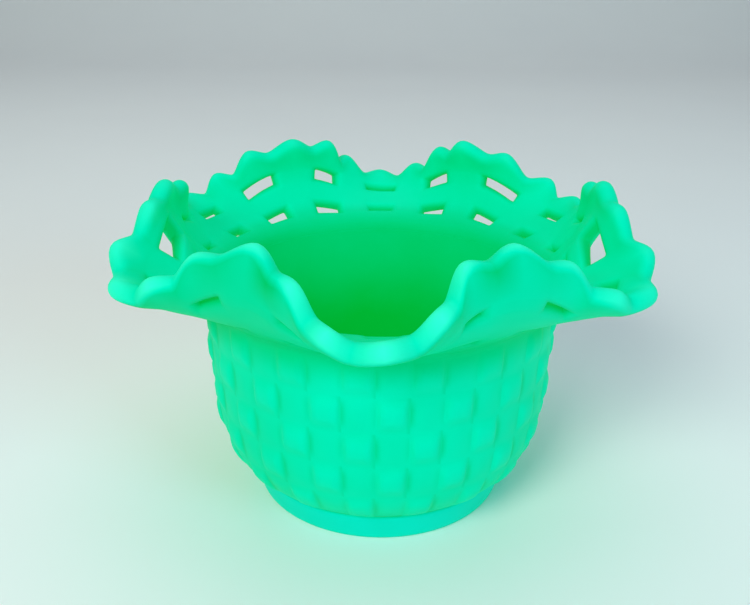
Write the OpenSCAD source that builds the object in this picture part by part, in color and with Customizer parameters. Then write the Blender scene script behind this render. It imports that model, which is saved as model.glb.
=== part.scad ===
// Ruffled open-edge bowl with a basket-weave body, pressed from satin uranium glass.
// Units mm, +Z up, origin at the centre of the underside of the foot, front at -Y.
// The real bowl is one piece of glass. Each node below is one formed zone of it,
// a closed solid that meets its neighbours face to face.

/* [Foot] */
// outside diameter of the foot ring
foot_d = 78; // [60:0.5:96]
// height of the foot ring
foot_h = 9.5; // [5:0.5:16]
// width of the ring that the bowl rests on
foot_ring_w = 6; // [3:0.5:12]
// depth of the hollow under the floor
foot_recess = 3.5; // [1:0.5:6]

/* [Bowl] */
// outside diameter of the bowl at the neck, without the weave
bowl_d = 105; // [84:0.5:130]
// height of the neck above the table
neck_z = 66.5; // [50:0.5:90]
// thickness of the bowl wall
wall_t = 5; // [3:0.1:8]
// how quickly the belly swells above the foot
belly_power = 7; // [3:0.5:12]

/* [Weave] */
// raised strands around each row
weave_cols = 18; // [12:2:24]
// height of the weave blocks above the wall
weave_lift = 1.3; // [0.5:0.1:2.5]
// part of each cell that is raised, around the bowl
weave_fill = 0.93; // [0.7:0.01:0.97]
// gap left between two rows of blocks
weave_gap = 0.8; // [0.3:0.1:2]
// plain band between the top row and the neck
weave_band = 0.8; // [0.5:0.1:8]
// turn of the weave against the ruffle, in degrees
weave_turn = 6.3; // [-10:0.1:10]

/* [Collar] */
// thickness of the open collar
collar_t = 5; // [3:0.1:8]
// radius of the bend where the collar leaves the neck
bend_r = 3.5; // [3:0.1:10]
// rise of the collar just past the bend, in degrees
collar_lean = 21.8; // [5:0.1:45]
// how far that rise swings between low and high waves, in degrees
lean_swing = 9; // [0:0.5:15]
// length over which the collar stays straight past the bend
collar_reach = 17.3; // [6:0.1:24]
// how far that length swings between low and high waves
reach_swing = 4.2; // [0:0.1:8]
// solid band between the neck and the lower windows
sill = 4; // [2.5:0.1:6]
// length of the lower windows, up the collar
lower_window = 5.4; // [4:0.1:8]
// rail between the lower and the upper windows
rail_w = 6.5; // [3:0.1:7]
// length of the upper windows, up the collar
upper_window = 6; // [4:0.1:8]
// width of the windows, measured at the neck
window_w = 8.7; // [5:0.1:12]
// window columns around the collar
windows = 18; // [12:6:24]

/* [Ruffle] */
// waves around the edge
waves = 6; // [4:1:9]
// how far the mean edge stands out beyond the neck
flare = 19.5; // [12:0.1:30]
// how far the mean edge rises above the neck
edge_rise = 22.2; // [12:0.1:30]
// how far the edge swings in and out from its mean
wave_out = 8.6; // [0:0.1:12]
// how far the edge swings up and down from its mean
wave_up = 8.7; // [0:0.1:12]
// how far the glass gathers towards the steep flanks, in degrees
wave_gather = 1.5; // [0:0.1:2]
// how far it gathers towards the high waves, in degrees
wave_draw = 1.2; // [0:0.1:2]
// rounded points in each window column
points_per_window = 2; // [1:1:3]
// depth of the notches between the rounded points
point_len = 3.7; // [1:0.1:6]
// thickness of the rounded points
point_t = 5.6; // [3:0.1:8]

/* [Hidden] */
$fn = 144;
foot_r = foot_d / 2;
shoulder_r = foot_r + 1;
bowl_r = bowl_d / 2;
well_r = foot_r - foot_ring_w;
weave_rows = 5;
weave_top = neck_z - weave_band;
weave_low = foot_h + 1.5;
row_h = (weave_top - weave_low) / weave_rows;
sub = 4;
neck_mid_r = bowl_r - wall_t / 2;
pitch = 360 / windows;
window_deg = window_w / neck_mid_r * 180 / PI;
post_deg = pitch - window_deg;
steps = 6;
mean_len = strip_len(90 / waves);
lower_a = sill / mean_len;
lower_b = lower_a + lower_window / mean_len;
upper_a = lower_b + rail_w / mean_len;
upper_b = upper_a + upper_window / mean_len;

glass = [0.15, 0.95, 0.6];

// ---- bowl profiles --------------------------------------------------------
function swell(u) = 0.8 * (1 - pow(1 - u, belly_power)) + 0.2 * u;
function lift_u(z) = (z - foot_h) / (neck_z - foot_h);
function outer_r(z) = shoulder_r + (bowl_r - shoulder_r) * swell(lift_u(z));
function inner_r(z) = well_r + (bowl_r - wall_t - well_r) * swell(lift_u(z));
function row_z(k, j) = weave_low + row_h * (k + j / sub);
wall_levels = concat([foot_h],
  [for (k = [0 : weave_rows - 1], j = [0 : sub - 1]) row_z(k, j)],
  [weave_top, neck_z]);

// ---- collar surface -------------------------------------------------------
// middle of the glass: a round bend out of the neck, then a curve up to the ruffled edge
function wave(a) = cos(waves * a);
function lean(a) = collar_lean - lean_swing * wave(a);
function turn(a) = 90 - lean(a);
function bend_len(a) = bend_r * turn(a) * PI / 180;
function bend(d) = [neck_mid_r + bend_r * (1 - cos(d)), neck_z + bend_r * sin(d)];
function p0(a) = bend(turn(a));
function p1(a) = p0(a) + (collar_reach - reach_swing * wave(a)) * [cos(lean(a)), sin(lean(a))];
function p2(a) = [neck_mid_r + flare + wave_out * wave(a), neck_z + edge_rise - wave_up * wave(a)];
function leg_a(a) = 2 * norm(p1(a) - p0(a));
function leg_b(a) = 2 * norm(p2(a) - p1(a)) - leg_a(a);
function curve_len(a) = (2 * norm(p2(a) - p0(a)) + norm(p1(a) - p0(a)) + norm(p2(a) - p1(a))) / 3;
function strip_len(a) = bend_len(a) + curve_len(a);
function run(a, w) = (sqrt(pow(leg_a(a), 2) + 2 * leg_b(a) * w * (leg_a(a) + leg_b(a) / 2))
  - leg_a(a)) / leg_b(a);
function bez(a, t) = pow(1 - t, 2) * p0(a) + 2 * t * (1 - t) * p1(a) + t * t * p2(a);
function slope(a, t) = (1 - t) * (p1(a) - p0(a)) + t * (p2(a) - p1(a));
function past(a, w) = w * strip_len(a) - bend_len(a);
function path(a, w) = let (s = past(a, w)) s < 0 ? bend(w * strip_len(a) / bend_r * 180 / PI)
  : bez(a, run(a, s / curve_len(a)));
function lead(a, w) = let (s = past(a, w), d = w * strip_len(a) / bend_r * 180 / PI)
  s < 0 ? [sin(d), cos(d)] : slope(a, run(a, s / curve_len(a)));
// the glass gathers as it is crimped, so its columns drift around the edge
function drift(a, w) = a - w * w * (wave_draw * sin(waves * a) - wave_gather * sin(2 * waves * a));
function spin(a, q) = [q[0] * sin(a), -q[0] * cos(a), q[1]];
function mid(a, w) = spin(drift(a, w), path(a, w));
function along(a, w) = spin(drift(a, w), lead(a, w));
function around(a, w) = mid(a + 0.5, w) - mid(a - 0.5, w);
function unit(v) = v / norm(v);
function normal(a, w) = unit(cross(along(a, w), around(a, w)));
function skin(a, q) = mid(a, q[0]) - q[1] * normal(a, q[0]);

// ---- sweeps of a section around the collar --------------------------------
// angles of the sections: across each window, then across the post beside it
angles = [for (c = [0 : windows - 1]) each concat(
  [for (j = [0 : steps - 1]) c * pitch + window_deg * (j / steps - 0.5)],
  [for (j = [0 : steps - 1]) c * pitch + window_deg / 2 + post_deg * j / steps])];
function lin(a, b, n) = [for (i = [0 : n]) a + (b - a) * i / n];
function strip(a, b, n) = concat(
  [for (w = lin(a, b, n)) [w, collar_t / 2]],
  [for (w = lin(b, a, n)) [w, -collar_t / 2]]);
function quads(m, n, wrap) = [for (i = [0 : wrap ? n - 1 : n - 2], j = [0 : m - 1])
  each let (p = i * m, q = ((i + 1) % n) * m, k = (j + 1) % m)
    [[p + j, p + k, q + k], [p + j, q + k, q + j]]];
// the rounded end of the collar: a half-round edge that runs out into each point
function tip(a) = 1 - point_len / mean_len
  * (1 - abs(cos(180 * a * windows * points_per_window / 360)));
// where the rail hands over to the points, just clear of the notches' rounding
rail_end = 1 - (point_len + point_t / 2 + 0.4) / mean_len;
function point_section(a) = let (h = point_t / 2, k = h / mean_len) concat(
  [[rail_end, collar_t / 2]],
  [for (d = [0 : 45 : 180]) [tip(a) - k + k * sin(d), h * cos(d)]],
  [[rail_end, -collar_t / 2]]);

// ---- nodes ----------------------------------------------------------------
module foot_ring() {
  color(glass)
    rotate_extrude()
      polygon([[well_r + 0.8, 0], [foot_r - 1, 0], [foot_r - 0.3, 0.3], [foot_r, 1],
        [foot_r + 0.6, foot_h], [well_r, foot_h], [well_r, 0.8]]);
}

module bowl_floor() {
  color(glass)
    translate([0, 0, foot_recess])
      cylinder(r = well_r, h = foot_h - foot_recess);
}

module bowl_wall() {
  color(glass)
    rotate_extrude()
      polygon(concat(
        [for (z = wall_levels) [outer_r(z), z]],
        [for (i = [len(wall_levels) - 1 : -1 : 0])
          [inner_r(wall_levels[i]), wall_levels[i]]]));
}

module weave_block(k) {
  lo = row_z(k, 0);
  hi = row_z(k, sub);
  zs = concat([lo + weave_gap / 2], [for (j = [1 : sub - 1]) row_z(k, j)], [hi - weave_gap / 2]);
  span = 180 / weave_cols * weave_fill;
  rotate_extrude(angle = span)
    polygon(concat(
      [for (z = zs) [outer_skin(z), z]],
      [for (i = [sub : -1 : 0]) [outer_skin(zs[i])
        + (i == 0 || i == sub ? weave_lift * 0.5 : weave_lift), zs[i]]]));
}

// wall radius read off the straight runs between two wall levels
function outer_skin(z) = let (s = row_h / sub, i = min(floor((z - weave_low) / s + 1e-6),
    weave_rows * sub - 1), a = weave_low + i * s, b = a + s)
  outer_r(a) + (outer_r(b) - outer_r(a)) * (z - a) / s;

module weave_row(k) {
  span = 180 / weave_cols;
  for (i = [0 : weave_cols - 1])
    rotate([0, 0, -90 - weave_turn + (2 * i + (k % 2)) * span - span * weave_fill / 2])
      weave_block(k);
}

module weave_row_1() {
  color(glass)
    weave_row(4);
}

module weave_row_2() {
  color(glass)
    weave_row(3);
}

module weave_row_3() {
  color(glass)
    weave_row(2);
}

module weave_row_4() {
  color(glass)
    weave_row(1);
}

module weave_row_5() {
  color(glass)
    weave_row(0);
}

module ring_sweep(sec) {
  polyhedron(
    points = [for (a = angles, q = sec) skin(a, q)],
    faces = quads(len(sec), len(angles), true),
    convexity = 12);
}

module post_sweep(sec, c) {
  m = len(sec);
  first = c * pitch + window_deg / 2;
  polyhedron(
    points = [for (i = [0 : steps], q = sec) skin(first + i * post_deg / steps, q)],
    faces = concat(quads(m, steps + 1, false), cap_faces(m, 0, true),
      cap_faces(m, steps * m, false)),
    convexity = 4);
}

// end faces of a strip section, as a ladder of triangles between its two sides
function cap_faces(m, base, flip) = [for (j = [0 : m / 2 - 2])
  each let (a = base + j, b = base + j + 1, c = base + m - 2 - j, d = base + m - 1 - j)
    flip ? [[a, c, b], [a, d, c]] : [[a, b, c], [a, c, d]]];

module collar_band() {
  color(glass)
    ring_sweep(strip(0, lower_a, 4));
}

module lower_posts() {
  color(glass)
    for (c = [0 : windows - 1])
      post_sweep(strip(lower_a, lower_b, 2), c);
}

module middle_rail() {
  color(glass)
    ring_sweep(strip(lower_b, upper_a, 2));
}

module upper_posts() {
  color(glass)
    for (c = [0 : windows - 1])
      post_sweep(strip(upper_a, upper_b, 2), c);
}

module edge_rail() {
  color(glass)
    ring_sweep(strip(upper_b, rail_end, 2));
}

module edge_points() {
  color(glass)
    polyhedron(
      points = [for (a = angles) for (q = point_section(a)) skin(a, q)],
      faces = quads(7, len(angles), true),
      convexity = 12);
}

foot_ring();
bowl_floor();
bowl_wall();
weave_row_1();
weave_row_2();
weave_row_3();
weave_row_4();
weave_row_5();
collar_band();
lower_posts();
middle_rail();
upper_posts();
edge_rail();
edge_points();
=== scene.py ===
import math
import bmesh
import bpy
from mathutils import Matrix, Vector


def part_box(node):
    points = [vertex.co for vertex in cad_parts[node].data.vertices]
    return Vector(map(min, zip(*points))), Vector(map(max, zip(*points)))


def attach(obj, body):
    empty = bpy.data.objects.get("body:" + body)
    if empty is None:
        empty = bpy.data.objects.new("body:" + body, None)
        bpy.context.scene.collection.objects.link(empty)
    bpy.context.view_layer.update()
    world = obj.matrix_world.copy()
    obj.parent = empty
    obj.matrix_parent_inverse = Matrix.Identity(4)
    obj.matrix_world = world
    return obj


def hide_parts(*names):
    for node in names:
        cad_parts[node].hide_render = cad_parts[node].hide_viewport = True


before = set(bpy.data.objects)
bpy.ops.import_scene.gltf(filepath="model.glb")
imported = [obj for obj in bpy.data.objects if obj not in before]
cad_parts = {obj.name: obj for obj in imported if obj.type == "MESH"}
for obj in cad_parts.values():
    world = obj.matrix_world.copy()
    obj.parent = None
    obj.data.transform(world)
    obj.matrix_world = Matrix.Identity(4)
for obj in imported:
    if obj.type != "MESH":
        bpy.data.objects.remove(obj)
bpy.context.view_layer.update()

# ---- Foot -------------------------------------------------------------------------
# The low round foot, pressed in one with the bowl from satin uranium glass. It flares
# up to meet the weave, stands on a ground ring and is hollow underneath.

MM = 0.001
foot_top = round(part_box("foot_ring")[1].z / MM, 2)
well = round(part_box("bowl_floor")[1].x / MM, 2)
# radius and height, from the hollow under the floor, round the ring and up to the weave
foot_profile = [(well, foot_top), (well, 3.4), (33.2, 1.4), (33.9, 0.4), (35.0, 0.0), (37.0, 0.0),
                (38.0, 0.12), (38.7, 0.6), (39.05, 1.5), (39.5, 3.4), (40.0, 5.4), (40.5, 7.3), (40.8, 8.5),
                (40.75, 9.15), (40.4, foot_top)]
foot_steps = 192
foot_crisp = 40
# inside this radius and above this height the foot is in shade
hollow_edge = 34
under_weave = 9
foot_shade = 0.3


def spin(turn, radius, height):
    """A point at an angle from the front, measured towards the left, in millimetres."""
    a = math.radians(turn)
    return Vector((-radius * math.sin(a), -radius * math.cos(a), height))


def smooth(x):
    x = min(max(x, 0.0), 1.0)
    return x * x * (3 - 2 * x)


def blend(a, b, share):
    return a + (b - a) * share


class Shell:
    """A mesh made of rings of points. Each point carries painted shading: 1 is full painted shade,
    for places tucked right away from the light, 0 is open to it, and below 0 is a paler painted highlight
    where it stands proud."""

    def __init__(self):
        self.bm = bmesh.new()
        self.painted_shading = self.bm.verts.layers.float.new("painted_shading")

    def point(self, place, painted_shading):
        v = self.bm.verts.new(place * MM)
        v[self.painted_shading] = painted_shading
        return v

    def face(self, *corners):
        return self.bm.faces.new(corners)

    def join(self, lower, upper):
        n = len(lower)
        for i in range(n):
            self.face(lower[i], upper[i], upper[(i + 1) % n], lower[(i + 1) % n])

    def close(self, ring, centre):
        n = len(ring)
        for i in range(n):
            self.face(ring[i], centre, ring[(i + 1) % n])

    def sharpen(self, angle):
        """Keeps crisp the edges where the glass turns by more than an angle, in degrees."""
        for e in self.bm.edges:
            e.smooth = len(e.link_faces) == 2 and e.calc_face_angle(0) < math.radians(angle)

    def build(self, name, finish):
        bmesh.ops.recalc_face_normals(self.bm, faces=self.bm.faces)
        for f in self.bm.faces:
            f.smooth = True
        mesh = bpy.data.meshes.new(name)
        self.bm.to_mesh(mesh)
        self.bm.free()
        mesh.materials.append(finish)
        piece = bpy.data.objects.new(name, mesh)
        bpy.context.scene.collection.objects.link(piece)
        return piece


class Strand:
    """One value in a finish. Sums and products of strands add the Math nodes for them."""

    def __init__(self, tree, socket=None):
        self.tree, self.socket = tree, socket

    def node(self, kind, settings, sockets, out=0):
        made = self.tree.nodes.new(kind)
        for key, value in settings.items():
            setattr(made, key, value)
        for key, value in sockets.items():
            if isinstance(value, Strand):
                self.tree.links.new(value.socket, made.inputs[key])
            else:
                made.inputs[key].default_value = value
        return Strand(self.tree, made.outputs[out] if made.outputs else None)

    def maths(self, operation, a, b):
        return self.node("ShaderNodeMath", {"operation": operation}, {0: a, 1: b})

    def __add__(self, other):
        return self.maths("ADD", self, other)

    def __radd__(self, other):
        return self.maths("ADD", other, self)

    def __sub__(self, other):
        return self.maths("SUBTRACT", self, other)

    def __rsub__(self, other):
        return self.maths("SUBTRACT", other, self)

    def __mul__(self, other):
        return self.maths("MULTIPLY", self, other)

    def __rmul__(self, other):
        return self.maths("MULTIPLY", other, self)

    def mix(self, a, b):
        """Colour a where this strand is 0, colour b where it is 1."""
        return self.node("ShaderNodeMix", {"data_type": "RGBA"}, {0: self, 6: a, 7: b}, out=2)


# painted light: a paler skin for painted highlights, and a darker skin and glow for painted shade
painted_highlight_skin = (0.04, 0.64, 0.60, 1)
painted_shade_skin = (0.0, 0.15, 0.04, 1)
painted_shade_glow = (0.0, 0.34, 0.015, 1)
pit_skin = (0.0, 0.10, 0.03, 1)
pit_glow = (0.0, 0.06, 0.01, 1)
sheen_tint = (0.12, 1.0, 0.85, 1)
pit_reach = 0.035
pit_rarity = 0.93
cloudiness = 0.28


def satin_glass(name, skin=(0.0, 0.43, 0.42, 1), glow=(0.0, 0.36, 0.03, 1)):
    """Acid-etched uranium glass: a painted green glow given off from within under a blue-green satin skin,
    with painted shade and painted highlight from each point's shading.
    """
    mat = bpy.data.materials.new(name)
    mat.use_nodes = True
    tree = mat.node_tree
    tree.nodes.clear()
    start = Strand(tree)
    place = start.node("ShaderNodeTexCoord", {}, {}, out="Object")
    painted_shading = start.node("ShaderNodeAttribute", {"attribute_name": "painted_shading"}, {}, out="Fac")
    cloud = start.node("ShaderNodeTexNoise", {}, {"Vector": place, "Scale": 42.0, "Detail": 3.0})
    etch = start.node("ShaderNodeTexNoise", {}, {"Vector": place, "Scale": 2600.0, "Detail": 2.0})
    ripple = start.node("ShaderNodeTexNoise", {}, {"Vector": place, "Scale": 150.0, "Detail": 1.0})
    cell = {"Vector": place, "Scale": 95.0}
    seed = start.node("ShaderNodeTexVoronoi", {}, cell)
    cell_colour = start.node("ShaderNodeTexVoronoi", {}, cell, out="Color")
    lot = start.node("ShaderNodeSeparateColor", {}, {"Color": cell_colour})
    pit = seed.maths("LESS_THAN", seed, pit_reach) * lot.maths("GREATER_THAN", lot, pit_rarity)
    # painted shade from each point's shading (plus random cloudy tone), and painted highlight where it is
    # below 0
    painted_shade = start.maths("MAXIMUM", painted_shading + (cloud - 0.5) * cloudiness, 0.0)
    painted_shade = start.maths("MINIMUM", painted_shade, 1.0)
    painted_highlight = start.maths("MAXIMUM", painted_shading * -1.0, 0.0)
    colour = pit.mix(painted_highlight.mix(painted_shade.mix(skin, painted_shade_skin), painted_highlight_skin), pit_skin)
    inner = pit.mix(painted_shade.mix(glow, painted_shade_glow), pit_glow)
    bump = start.node("ShaderNodeBump", {}, {
        "Height": etch * 0.16 + ripple - pit * 0.5, "Strength": 0.35, "Distance": 0.0004})
    # painted glow: the emission makes the glass give off green light though it is no lamp
    glass = start.node("ShaderNodeBsdfPrincipled", {}, {
        "Base Color": colour, "Emission Color": inner, "Emission Strength": 1.0,
        "Roughness": 0.46 + etch * 0.14, "IOR": 1.5, "Specular IOR Level": 0.04,
        "Specular Tint": sheen_tint, "Normal": bump})
    start.node("ShaderNodeOutputMaterial", {}, {"Surface": glass})
    return mat


foot = Shell()
foot_rings = [[foot.point(spin(360 * i / foot_steps, r, z),
                          foot_shade if r < hollow_edge or z > under_weave else 0.0)
               for i in range(foot_steps)] for r, z in foot_profile]
for k, ring in enumerate(foot_rings):
    foot.join(ring, foot_rings[(k + 1) % len(foot_rings)])
foot.sharpen(foot_crisp)
# painted light: the foot's skin and glow are bluer than the bowl's, standing in for bluish light at the
# base
foot_glass = satin_glass("satin_glass_foot", skin=(0.0, 0.41, 0.50, 1), glow=(0.0, 0.34, 0.05, 1))
foot_piece = foot.build("foot", foot_glass)
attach(foot_piece, "root")
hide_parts("foot_ring")

# ---- Woven bowl -------------------------------------------------------------------
# The body of the bowl, pressed in a mould: five rows of soft basket weave outside, the
# raised strands a good millimetre proud, and a plain wall and floor inside.

neck_height = round(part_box("bowl_wall")[1].z / MM, 2)
neck_radius = round(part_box("bowl_wall")[1].x / MM, 2)
wall = 5.0
shoulder = 41.0
# how fast the belly fills out above the foot, and how much of it does so at an even rate
belly_power = 7
belly_even = 0.2
weave_low = 11.0
weave_top = 65.7
weave_rows = 5
weave_turn = 6.3
weave_columns = 36
cell_angle = 360 / weave_columns
# the raised strands: how proud, how full in the middle, and how wide their rounded edges are
weave_lift = 1.1
crown = 0.16
side_edge = 0.46
top_edge = 0.75
start_gap = 0.3
# the strands that pass under them
under_lift = 0.28
under_edge = 0.9
# painted shade: in the grooves, on the side turned from the light and in the crease over the foot
groove_shade = 0.10
under_shade = 0.08
groove_from = 0.6
lee_shade, lee_from = 0.20, 0.72
under_lee_shade, under_lee_from = 0.27, 0.5
crease_shade = 0.45
over_crease_top, over_crease_rise = 10.7, 1.0
under_crease_top, under_crease_rise = 12.2, 1.6
# painted shade under the collar, deep inside the bowl, at its mouth and under its floor
neck_shade, neck_shade_from, neck_shade_rise = 0.55, 56, 10
floor_shade, mouth_shade, mouth_shade_from, mouth_shade_rise = 1.0, 0.6, 30, 36
base_shade = 0.5
neck_fillet = 4.0
fillet_low = 64.45
tuck_in, tuck_rise = 0.7, 0.9
floor_top = foot_top
hub_height = 3.9
bowl_crisp = 70
across = [-1, -0.93, -0.85, -0.75, -0.6, -0.32, 0, 0.32, 0.6, 0.75, 0.85, 0.93]
up_row = [-1, -0.88, -0.74, -0.56, -0.3, 0, 0.3, 0.56, 0.74, 0.88]
below_weave = [foot_top, 9.9, 10.4]
above_weave = [weave_top, 66.0, 66.25, 66.4, neck_height]
inside_heights = [66.2, 65.5, 64.0, 62, 58.5, 54, 49, 44, 39, 34, 30, 26, 22.5, 19.5, 17, 15, 13.2,
                  11.8, 10.8]
floor_rings = [(33.2, 10.1), (31.6, 9.75), (29.5, 9.55), (25, floor_top), (17, floor_top), (8, floor_top)]
under_rings = [(8, hub_height), (18, 3.85), (27, 3.7), (31.4, 3.55), (well, 3.5), (well, foot_top)]
row_height = (weave_top - weave_low) / weave_rows


def swell(height):
    """How far the wall has swelled at a height, from 0 at the foot to 1 at the neck."""
    u = (height - foot_top) / (neck_height - foot_top)
    return (1 - belly_even) * (1 - (1 - u) ** belly_power) + belly_even * u


def outside(height):
    """Radius of the wall under the weave, with the start of the fillet under the collar."""
    up = max(height - fillet_low, 0)
    return blend(shoulder, neck_radius, swell(height)) + neck_fillet - math.sqrt(neck_fillet ** 2 - up ** 2)


def inside(height):
    return blend(well, neck_radius - wall, swell(height))


def weave(turn, height):
    """How far the glass stands out at a point of the weave, and how much shade is painted on it."""
    x = (turn - weave_turn) / cell_angle + 0.5
    column = math.floor(x + 1e-9)
    u = 2 * (x - column) - 1
    row = min(max(math.floor((height - weave_low) / row_height + 1e-9), 0), weave_rows - 1)
    low, high = weave_low + row * row_height, weave_low + (row + 1) * row_height
    over = (column + row) % 2 == 0
    if over and row == 0:
        low = foot_top + start_gap
    v = min(max(2 * (height - low) / (high - low) - 1, -1), 1)
    sides = smooth((1 - abs(u)) / side_edge)
    ends = smooth((1 - abs(v)) / top_edge)
    if over:
        lift = weave_lift * sides * ends * (1 - crown + crown * (1 - u * u))
        lee = lee_shade * smooth((-u - lee_from) / (1 - lee_from))
        crease = crease_shade * smooth((over_crease_top - height) / over_crease_rise)
        return lift, groove_shade * (1 - sides * ends) + lee + crease
    lift = under_lift * ends * smooth((1 - abs(u)) / under_edge)
    groove = groove_shade * smooth((abs(u) - groove_from) / (1 - groove_from))
    lee = under_lee_shade * smooth((u - under_lee_from) / (1 - under_lee_from))
    crease = crease_shade * smooth((under_crease_top - height) / under_crease_rise)
    return lift, under_shade + ends * (groove + lee) + crease


bowl = Shell()
turns = [weave_turn + cell_angle * (c - 0.5 + (u + 1) / 2) for c in range(weave_columns) for u in across]
weave_heights = [weave_low + row_height * (k + (v + 1) / 2) for k in range(weave_rows) for v in up_row]
outer_rings = []
for z in below_weave + weave_heights + above_weave:
    ring = []
    tuck = -tuck_in * (1 - smooth((z - foot_top) / tuck_rise))
    for t in turns:
        lift, shade = weave(t, z)
        shade = blend(shade, neck_shade, smooth((z - neck_shade_from) / neck_shade_rise))
        ring.append(bowl.point(spin(t, outside(z) + lift + tuck, z), shade))
    outer_rings.append(ring)
inner_rings = []
for z in [neck_height] + inside_heights:
    shade = blend(floor_shade, mouth_shade, smooth((z - mouth_shade_from) / mouth_shade_rise))
    inner_rings.append([bowl.point(spin(t, inside(z), z), shade) for t in turns])
inner_rings += [[bowl.point(spin(t, r, z), floor_shade) for t in turns] for r, z in floor_rings]
under = [[bowl.point(spin(t, r, z), base_shade) for t in turns] for r, z in under_rings]
stack = under + outer_rings + inner_rings
for lower, upper in zip(stack, stack[1:]):
    bowl.join(lower, upper)
bowl.close(stack[0], bowl.point(Vector((0, 0, hub_height)), base_shade))
bowl.close(stack[-1], bowl.point(Vector((0, 0, floor_top)), floor_shade))
bowl.sharpen(bowl_crisp)
bowl_piece = bowl.build("woven_bowl", satin_glass("satin_glass_bowl"))
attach(bowl_piece, "root")
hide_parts("bowl_wall", "bowl_floor", "weave_row_1", "weave_row_2", "weave_row_3",
            "weave_row_4", "weave_row_5")

# ---- Open collar ------------------------------------------------------------------
# The flared collar above the neck: two rows of windows pressed through the glass and a
# scalloped edge, crimped by hand into six uneven waves while the glass was still soft.

collar_t = 5.0
neck_mid = neck_radius - wall / 2
bend_r = 3.5
under_r = bend_r - collar_t / 2
waves = 6
# the edge and the section behind it: each at the mean, and how far it swings with the waves
edge_out, edge_out_swing = neck_mid + 19.5, 8.6
edge_up, edge_up_swing = neck_height + 22.2, 8.7
rise, rise_swing = 21.8, 9.0
reach, reach_swing = 17.3, 4.2
draw, gather = -1.2, 1.5
collar_turn = 0.6
# how the hand work strays from six even waves: cycles round the bowl, cosine share, sine share
wave_stray = [(0, 0.9, 0), (1, 0.6, 0.4), (2, 0.75, 0)]
out_stray = [(1, 0.7, 0), (2, -1.75, 0), (3, -1.6, 0.7)]
up_stray = [(1, -1.3, 0), (3, 0.4, 0.3)]
columns = 18
pitch = 360 // columns
window_turn = 5.8
# the two rows of windows: middle and half height as shares of the collar, then half width in
# degrees and half height in millimetres at the narrowest
windows = [(0.215, 0.088, 4.1, 1.5), (0.612, 0.098, 4.7, 1.7)]
rail_middle = 0.408
corner_round = 0.65
# stations across a window and the post beside it, where each meets the edge, and how deep
# the edge is notched there
stations = [-5.8, -4.3, 0, 4.3, 5.8, 7.8, 10, 12.2]
edge_stations = [-5, -3.4, 0, 3.4, 5, 6.6, 10, 13.4]
notched = [1, 0.7, 0, 0.7, 1, 0.7, 0, 0.7]
notch_depth, notch_swing = 4.5, 0.9
lobe_reach = 1.3
lobe_half = 3.0
lobe_sink = 0.3
nose_steps = (45, 90, 135)
# the fillet under the bend: where it ends along the collar, and the last share that uses it
fillet_share = 0.14
fillet_last = 0.12
# painted light and shade: a painted highlight on the front of the edge, and painted shade in the two folds
# beside it, in the notches, on the edge's nose and on the window walls
shine_least, shine_most, shine_lost, shine_turn, shine_spread = 0.10, 0.70, 0.85, 12, 1.2
fold_shade, fold_turn, fold_half = 0.3, 25, 5
notch_shade = 0.2
nose_shade = 0.1
pane_shade = 0.6
# painted shade of the sheet: by the neck, towards the edge, and the share of the way that takes; then how
# much darker one side of the collar's outside is painted than the other
inner_neck, inner_edge, inner_run = 0.6, 0.12, 0.3
outer_neck, outer_edge, outer_run = 0.55, 0.25, 0.4
side_shade = 0.12
# half steps for slopes along the collar, and around it in degrees
slope_step, slope_turn = 0.004, 0.4


def stray(turn, terms):
    """Sum of the slow waves that a list of terms gives at an angle."""
    a = math.radians(turn)
    return sum(c * math.cos(n * a) + s * math.sin(n * a) for n, c, s in terms)


def crimp(turn):
    """1 at the middle of a low wave, -1 at the top of a high one."""
    return math.cos(waves * math.radians(turn - stray(turn, wave_stray)))


def section(turn):
    """The collar's section at one angle: the end of the bend, the pull point and the edge."""
    low = crimp(turn)
    lean = math.radians(rise - rise_swing * low)
    start = Vector((neck_mid + bend_r * (1 - math.sin(lean)), neck_height + bend_r * math.cos(lean)))
    pull = start + (reach - reach_swing * low) * Vector((math.cos(lean), math.sin(lean)))
    end = Vector((edge_out + edge_out_swing * low + stray(turn, out_stray),
                  edge_up - edge_up_swing * low + stray(turn, up_stray)))
    bent = bend_r * (math.pi / 2 - lean)
    free = (2 * (end - start).length + (pull - start).length + (end - pull).length) / 3
    return start, pull, end, bent, free


def length(turn):
    """Length of the collar along the glass at one angle."""
    return sum(section(turn)[3:])


def off_from(turn, place):
    """How many degrees an angle is away from a place, either way round."""
    return abs((turn - place + 180) % 360 - 180)


# how far the hand crimping pulled single lobes: at an angle, round (degrees), out and up
pull_half = 10
pulls = [(30, -2.0, 0, 1.2), (40, 2.4, 0, -2.0), (50, 0.8, 0, 0), (60, -1.0, 0, 1.2), (70, 0, 0, 3.8),
         (80, 0, -1.5, 2.2), (100, 0, -3.6, 0), (130, -2.0, 0, 2.0), (140, -2.9, 0, 0.8), (150, 0, 0, -1.7),
         (160, 1.9, 0, 0), (170, 0, 0, 1.5), (180, 0, 0, -1.2), (210, -2.6, 0, -1.1), (220, 1.2, 0, 0),
         (230, 3.0, 2.0, 1.0), (260, 0, -2.0, 0), (280, 0, -1.5, 1.0), (290, 0, 0, 2.0), (320, -1.5, 0, 0),
         (330, 0, 0, 1.4), (340, 1.6, 0, 1.6)]
# where it bowed the sheet between the neck and the edge: at an angle, out and up
bow_half = 15
bows = [(82, -1.5, 4.5), (276, -2.0, 3.8)]
# what the crimping did to single windows: column and row, then how wide and how high it
# left them as shares of a whole one, and how far it slid them towards the edge
untouched = (1, 1, 0)
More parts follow.
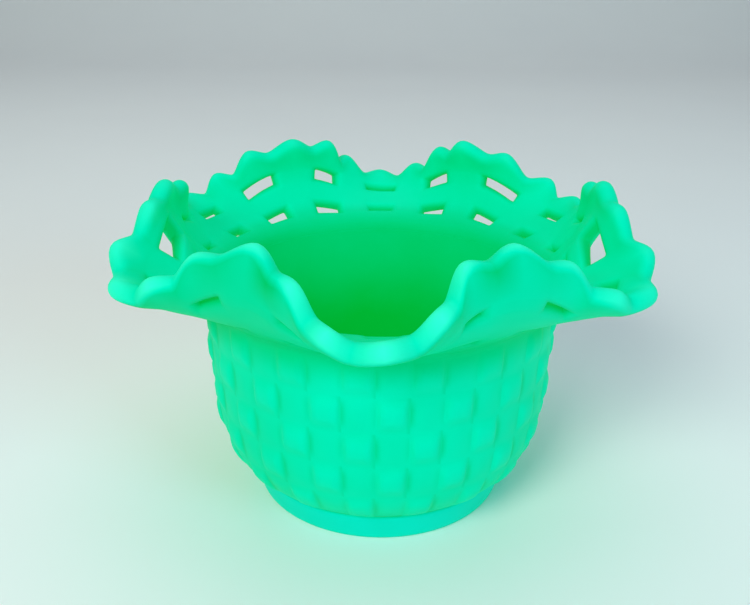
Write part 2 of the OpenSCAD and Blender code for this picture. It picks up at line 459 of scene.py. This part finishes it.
# the outer rim of a window moves less than its narrowest part: the share that stays put, the
# most it follows in width and height, and how far the level before it slides with it
rim_fixed, rim_widest, rim_highest, slide_share = 0.4, 1.3, 1.5, 0.6
crimped = {(0, 0): (0.7, 0.4, 0), (0, 1): (0.7, 0.3, 0), (1, 0): (0.7, 0.4, 0), (1, 1): (0.35, 0.08, 0),
           (2, 0): (0.8, 0.5, 0), (2, 1): (0.7, 0.3, 0), (4, 0): (0.9, 0.6, 0), (4, 1): (0.95, 1.8, -0.07),
           (5, 0): (0.4, 0.1, 0), (5, 1): (0.4, 0.1, 0), (6, 0): (0.6, 0.75, 0), (6, 1): (0.6, 0.5, 0),
           (7, 0): (1, 0.9, 0), (8, 0): (0.95, 1, 0), (8, 1): (0.68, 1, 0), (9, 0): (0.9, 0.5, 0),
           (9, 1): (0.9, 0.3, 0), (10, 0): (0.85, 0.9, 0), (10, 1): (0.68, 0.95, 0), (11, 0): (1, 0.85, 0),
           (11, 1): (1, 0.9, 0), (12, 0): (0.5, 0.75, 0), (12, 1): (0.6, 0.5, 0), (13, 0): (0.4, 0.1, 0),
           (13, 1): (0.4, 0.1, 0), (14, 0): (0.9, 0.6, 0), (14, 1): (0.95, 1.8, -0.07),
           (16, 0): (0.8, 0.5, 0), (16, 1): (0.7, 0.3, 0), (17, 0): (0.7, 0.4, 0), (17, 1): (0.3, 0.06, 0)}


def middle(turn, w):
    """A point of the collar's middle surface, w of the way from the neck to the edge."""
    start, pull, end, bent, free = section(turn)
    s = w * (bent + free) - bent
    if s < 0:
        d = (s + bent) / bend_r
        at = Vector((neck_mid + bend_r * (1 - math.cos(d)), neck_height + bend_r * math.sin(d)))
    else:
        first = 2 * (pull - start).length
        more = 2 * (end - pull).length - first
        t = (math.sqrt(first ** 2 + 2 * more * s / free * (first + more / 2)) - first) / more
        at = (1 - t) ** 2 * start + 2 * t * (1 - t) * pull + t * t * end
    a = waves * math.radians(turn)
    drifted = turn + w * w * (draw * math.sin(a) + gather * math.sin(2 * a)) - collar_turn
    for place, along, out, up in pulls:
        off = off_from(turn, place)
        if off < pull_half:
            share = w * w * math.cos(math.radians(90 * off / pull_half)) ** 2
            drifted += along * share
            at += share * Vector((out, up))
    for place, out, up in bows:
        off = off_from(turn, place)
        if off < bow_half:
            share = math.sin(math.pi * w) ** 2 * math.cos(math.radians(90 * off / bow_half)) ** 2
            at += share * Vector((out, up))
    return spin(drifted, at.x, at.y)


def facing(turn, w):
    """Direction square to the middle surface, towards the mouth of the bowl."""
    up = middle(turn, w + slope_step) - middle(turn, max(w - slope_step, 0))
    side = middle(turn + slope_turn, w) - middle(turn - slope_turn, w)
    return side.cross(up).normalized()


def painted_collar_shade(turn, w, side):
    """How much shade is painted on the collar, inside (side 1) or outside (-1): most by the neck."""
    if side > 0:
        return blend(inner_neck, inner_edge, smooth(w / inner_run))
    edge = outer_edge + side_shade * math.sin(math.radians(turn))
    return blend(outer_neck, edge, smooth(w / outer_run))


def under_bend(turn, w):
    """The wide fillet where the collar's underside leaves the neck."""
    lean = math.pi / 2 - section(turn)[3] / bend_r
    corner = neck_height + under_r * (math.cos(lean) - (1 - math.sin(lean)) * math.tan(lean))
    foot_of = corner - neck_fillet * math.tan((math.pi / 2 - lean) / 2)
    first = math.asin((neck_height - fillet_low) / neck_fillet)
    share = w / fillet_share
    a = blend(first, math.pi / 2 - lean, share)
    low = blend(fillet_low, foot_of, share)
    radius = neck_radius + neck_fillet * (1 - math.cos(a))
    return spin(turn - collar_turn, radius, low + neck_fillet * math.sin(a))


def crimped_place(c, row, pane, w):
    """Where a station and a level of a window's rim went when the window was crimped."""
    wide, high, slid = crimped.get((c, row), untouched)
    centre = windows[row][0]
    across_share = rim_fixed + (1 - rim_fixed) * min(wide, rim_widest)
    along_share = rim_fixed + (1 - rim_fixed) * min(high, rim_highest)
    squeezed = pane * across_share if abs(pane) <= window_turn else pane
    return pitch * c + squeezed, centre + slid + (w - centre) * along_share


collar = Shell()
# shares of the way along the collar at which it has a ring of points
levels = [0, 0.012, 0.04, 0.07]
for centre, half, _, _ in windows:
    step = corner_round * half
    levels += [centre - half, centre - step, centre, centre + step, centre + half]
    if centre < rail_middle:
        levels.append(rail_middle)
openings = [(levels.index(c - h), levels.index(c + h)) for c, h, _, _ in windows]
rings = {1: [], -1: []}
noses = []
for c in range(columns):
    for pane, scallop, notch in zip(stations, edge_stations, notched):
        turn, edge_turn = pitch * c + pane, pitch * c + scallop
        size = length(edge_turn)
        cut = notch_depth - notch_swing * math.cos(math.radians(turn))
        tip = 1 + (lobe_reach - cut * notch) / size
        brow = tip - lobe_half / size
        hilt = (levels[-1] + brow) / 2
        facing_front = smooth(shine_spread * math.cos(math.radians(edge_turn - shine_turn)))
        shine = (shine_least + shine_most * facing_front) * (1 - shine_lost * notch)
        fold = fold_shade * smooth(1 - abs(off_from(edge_turn, 0) - fold_turn) / fold_half)
        for side in (1, -1):
            ring = []
            for level, w in enumerate(levels):
                t = turn
                for row, (sill, head) in enumerate(openings):
                    if sill <= level <= head:
                        t, w = crimped_place(c, row, pane, w)
                    elif row == 1 and level == sill - 1:
                        w += slide_share * crimped.get((c, row), untouched)[2]
                if side < 0 and w < fillet_last:
                    at = under_bend(turn, w)
                else:
                    at = middle(t, w) + side * collar_t / 2 * facing(t, w)
                ring.append(collar.point(at, painted_collar_shade(turn, w, side)))
            for w, share in ((hilt, 0.5), (brow, 1)):
                t = blend(turn, edge_turn, share)
                half_t = side * blend(collar_t / 2, lobe_half, share) - lobe_sink * share
                shade = painted_collar_shade(t, w, side) + (notch_shade * notch + fold) * share
                # painted highlight along the front of the edge, on the inside
                if side > 0:
                    shade -= shine * share
                ring.append(collar.point(middle(t, w) + half_t * facing(t, w), shade))
            rings[side].append(ring)
        out = facing(edge_turn, brow)
        root = middle(edge_turn, brow)
        ahead = (middle(edge_turn, tip) - root).normalized()
        nose = []
        for d in nose_steps:
            round_by = ahead * math.sin(math.radians(d)) + math.cos(math.radians(d)) * out
            nose.append(collar.point(root - lobe_sink * out + lobe_half * round_by,
                                     nose_shade * notch + fold - shine))
        noses.append(nose)

count = len(noses)
# the last of the stations that lie across a window
window_rim = sum(abs(pane) <= window_turn for pane in stations) - 1


def is_open(i, level):
    """True where a window goes through the glass."""
    return i % len(stations) < window_rim and any(sill <= level < head for sill, head in openings)


for i in range(count):
    j = (i + 1) % count
    for side in (1, -1):
        here, there = rings[side][i], rings[side][j]
        for level in range(len(here) - 1):
            if not is_open(i, level):
                collar.face(here[level], here[level + 1], there[level + 1], there[level])
    over = [rings[1][i][-1]] + noses[i] + [rings[-1][i][-1]]
    next_over = [rings[1][j][-1]] + noses[j] + [rings[-1][j][-1]]
    for k in range(len(over) - 1):
        collar.face(over[k], over[k + 1], next_over[k + 1], next_over[k])
    collar.face(rings[1][i][0], rings[-1][i][0], rings[-1][j][0], rings[1][j][0])

# the round-edged wall of each window, narrowest halfway through the glass
for c in range(columns):
    first = c * len(stations)
    for row, ((sill, head), (centre, half, narrow_turn, narrow_half)) in enumerate(zip(openings, windows)):
        wide, high, slid = crimped.get((c, row), untouched)
        border = ([(n, sill) for n in range(window_rim)] + [(window_rim, k) for k in range(sill, head)]
                  + [(n, head) for n in range(window_rim, 0, -1)] + [(0, k) for k in range(head, sill, -1)])
        loops = []
        for n, level in border:
            turn = pitch * c + stations[n] * narrow_turn * wide / window_turn
            w = centre + slid + (levels[level] - centre) / half * narrow_half * high / length(pitch * c)
            inner = [collar.point(middle(turn, w) + o * facing(turn, w), pane_shade) for o in (1.0, -1.0)]
            i = (first + n) % count
            loops.append([rings[1][i][level]] + inner + [rings[-1][i][level]])
        for here, there in zip(loops, loops[1:] + loops[:1]):
            for k in range(len(here) - 1):
                collar.face(here[k], here[k + 1], there[k + 1], there[k])

# the collar's foot stays crisp where it sits on the neck
neck_verts = set(ring[0] for side in (1, -1) for ring in rings[side])
crease = collar.bm.edges.layers.float.new("crease_edge")
same_radius = 0.001
for e in collar.bm.edges:
    a, b = e.verts
    if a in neck_verts and b in neck_verts and abs(a.co.xy.length - b.co.xy.length) < same_radius:
        e[crease] = 1.0
        e.smooth = False
collar_piece = collar.build("open_collar", satin_glass("satin_glass_collar"))
round_off = collar_piece.modifiers.new("softened", "SUBSURF")
round_off.levels = round_off.render_levels = 2
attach(collar_piece, "root")
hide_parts("collar_band", "lower_posts", "middle_rail", "upper_posts", "edge_rail",
            "edge_points")

# ---- Table and backdrop -----------------------------------------------------------
# A plain pale sheet that runs back and sweeps up behind the bowl. It isn't part of it.

sweep_front, sweep_back, sweep_r, sweep_top, sweep_half = -1.2, 0.9, 0.5, 2.2, 2.5
curve = [(sweep_front, 0.0), (sweep_back, 0.0)]
curve += [(sweep_back + sweep_r * math.sin(math.radians(d)), sweep_r * (1 - math.cos(math.radians(d))))
          for d in range(10, 91, 10)] + [(sweep_back + sweep_r, sweep_top)]
sheet = bmesh.new()
lines = [[sheet.verts.new((x, y, z)) for x in (-sweep_half, sweep_half)] for y, z in curve]
for a, b in zip(lines, lines[1:]):
    sheet.faces.new((a[0], a[1], b[1], b[0])).smooth = True
table_mesh = bpy.data.meshes.new("table")
sheet.to_mesh(table_mesh)
sheet.free()
paper = bpy.data.materials.new("pale_paper")
paper.use_nodes = True
paper.node_tree.nodes.clear()
start = Strand(paper.node_tree)
place = start.node("ShaderNodeTexCoord", {}, {}, out="Object")
fibre = start.node("ShaderNodeTexNoise", {}, {"Vector": place, "Scale": 6.0, "Detail": 2.0})
matt = start.node("ShaderNodeBsdfPrincipled", {}, {
    "Base Color": fibre.mix((0.82, 0.83, 0.86, 1), (0.86, 0.87, 0.89, 1)), "Roughness": 0.9,
    "Specular IOR Level": 0.1})
start.node("ShaderNodeOutputMaterial", {}, {"Surface": matt})
table_mesh.materials.append(paper)
table = bpy.data.objects.new("table", table_mesh)
bpy.context.scene.collection.objects.link(table)

# ---- Lights -----------------------------------------------------------------------
# A soft box high in front at the left, a lower bluish one at the right, a weak one
# overhead and an even pale surround.


def soft_box(name, place, aim, size, power, colour=(1, 1, 1)):
    lamp = bpy.data.lights.new(name, "AREA")
    lamp.shape = "RECTANGLE"
    lamp.size, lamp.size_y = size
    lamp.energy, lamp.color = power, colour
    box = bpy.data.objects.new(name, lamp)
    box.location = place
    box.rotation_euler = (Vector(aim) - Vector(place)).to_track_quat("-Z", "Y").to_euler()
    bpy.context.scene.collection.objects.link(box)


soft_box("key", (-0.50, -0.90, 0.75), (0, 0, 0.05), (0.5, 0.5), 11, (0.9, 1.0, 0.85))
soft_box("fill", (0.80, -0.75, 0.45), (0, 0, 0.05), (0.5, 0.4), 5, (0.3, 0.8, 1.0))
soft_box("overhead", (0.0, 0.25, 1.2), (0, 0.1, 0), (1.2, 1.2), 5.5)
world = bpy.data.worlds.new("surround")
world.use_nodes = True
surround = world.node_tree.nodes["Background"]
surround.inputs["Color"].default_value = (0.9, 0.95, 1.0, 1)
surround.inputs["Strength"].default_value = 0.15
bpy.context.scene.world = world
bpy.context.scene.view_settings.view_transform = "Standard"

# ---- Camera -----------------------------------------------------------------------
# Close in front, a little above the rim and looking down into the mouth. It is turned
# down, aside and about its own axis by small angles, in radians.

stand = (0, -0.2453, 0.1642)
tilt, yaw, roll = 0.4061, -0.0074, 0.0087
lens = bpy.data.cameras.new("camera")
lens.sensor_width, lens.lens = 36.0, 41.77
camera = bpy.data.objects.new("camera", lens)
ahead = Vector((math.sin(yaw) * math.cos(tilt), math.cos(yaw) * math.cos(tilt), -math.sin(tilt)))
right = Vector((math.cos(yaw), -math.sin(yaw), 0))
upward = right.cross(ahead)
rolled_right = math.cos(roll) * right + math.sin(roll) * upward
rolled_up = math.cos(roll) * upward - math.sin(roll) * right
turned = Matrix((rolled_right, rolled_up, -ahead)).transposed().to_4x4()
camera.matrix_world = Matrix.Translation(stand) @ turned
bpy.context.scene.collection.objects.link(camera)
bpy.context.scene.camera = camera
